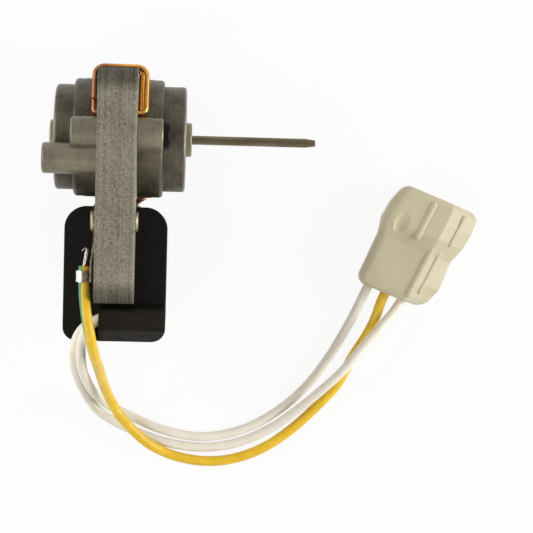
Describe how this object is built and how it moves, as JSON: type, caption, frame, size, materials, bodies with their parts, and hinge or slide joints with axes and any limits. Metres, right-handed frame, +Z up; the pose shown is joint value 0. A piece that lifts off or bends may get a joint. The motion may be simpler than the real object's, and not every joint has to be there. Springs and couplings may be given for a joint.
{
  "type": "evaporator fan motor",
  "caption": "Small shaded-pole C-frame fan motor with a long shaft, a taped coil, cast end brackets, and loose leads to a moulded plug.",
  "frame": {"origin": "on the shaft's axis, where it leaves the front bracket's boss", "axes": "+X along the shaft to its free end, +Z up from the surface that the motor lies on, +Y away from the coil"},
  "size_m": [0.1485, 0.1388, 0.06],
  "materials": {
    "lamination_steel": "dull, oiled sheet edges",
    "bobbin_nylon": "satin black",
    "winding_copper": "enamelled",
    "coil_tape": "satin black",
    "cast_metal": "turned die casting, dull",
    "bearing_bronze": "sintered, oiled",
    "felt": "pressed felt",
    "spring_steel": "satin",
    "washer_nylon": "satin",
    "spacer_brass": "turned",
    "shaft_steel": "ground",
    "rotor_steel": "turned",
    "cage_aluminium": "as cast",
    "black_steel": "black oxide",
    "plated_steel": "plated",
    "ring_copper": "bare copper",
    "terminal_brass": "stamped",
    "tinned_copper": "tinned strands",
    "plug_nylon": "natural, semi-gloss",
    "contact_brass": "stamped",
    "white_insulation": "satin",
    "earth_insulation": "yellow with a green stripe"
  },
  "bodies": {
    "stator": {"stator_core": "lamination_steel", "coil_core": "lamination_steel", "bobbin": "bobbin_nylon", "winding": "winding_copper", "coil_tape": "coil_tape", "lead_cover": "bobbin_nylon", "front_bracket": "cast_metal", "rear_bracket": "cast_metal", "front_bearing": "bearing_bronze", "rear_bearing": "bearing_bronze", "front_oil_felt": "felt", "rear_oil_felt": "felt", "front_bearing_retainer": "spring_steel", "rear_bearing_retainer": "spring_steel", "assembly_screws": "black_steel", "leg_rivets": "plated_steel", "upper_shading_ring": "ring_copper", "lower_shading_ring": "ring_copper", "earth_terminal": "terminal_brass", "earth_conductor": "tinned_copper", "connector_housing": "plug_nylon", "connector_contacts": "contact_brass", "lead_wire_left": "white_insulation", "lead_wire_right": "white_insulation", "earth_wire": "earth_insulation"},
    "rotor": {"shaft": "shaft_steel", "rotor_stack": "rotor_steel", "rotor_cage": "cage_aluminium", "front_thrust_washer": "washer_nylon", "rear_thrust_washer": "washer_nylon", "front_rotor_spacer": "spacer_brass", "rear_rotor_spacer": "spacer_brass"}
  },
  "joints": [
    {"name": "rotor_spin", "type": "hinge", "parent": "stator", "child": "rotor", "pos_m": [0, 0, 0], "axis": [1, 0, 0], "continuous": true}
  ]
}
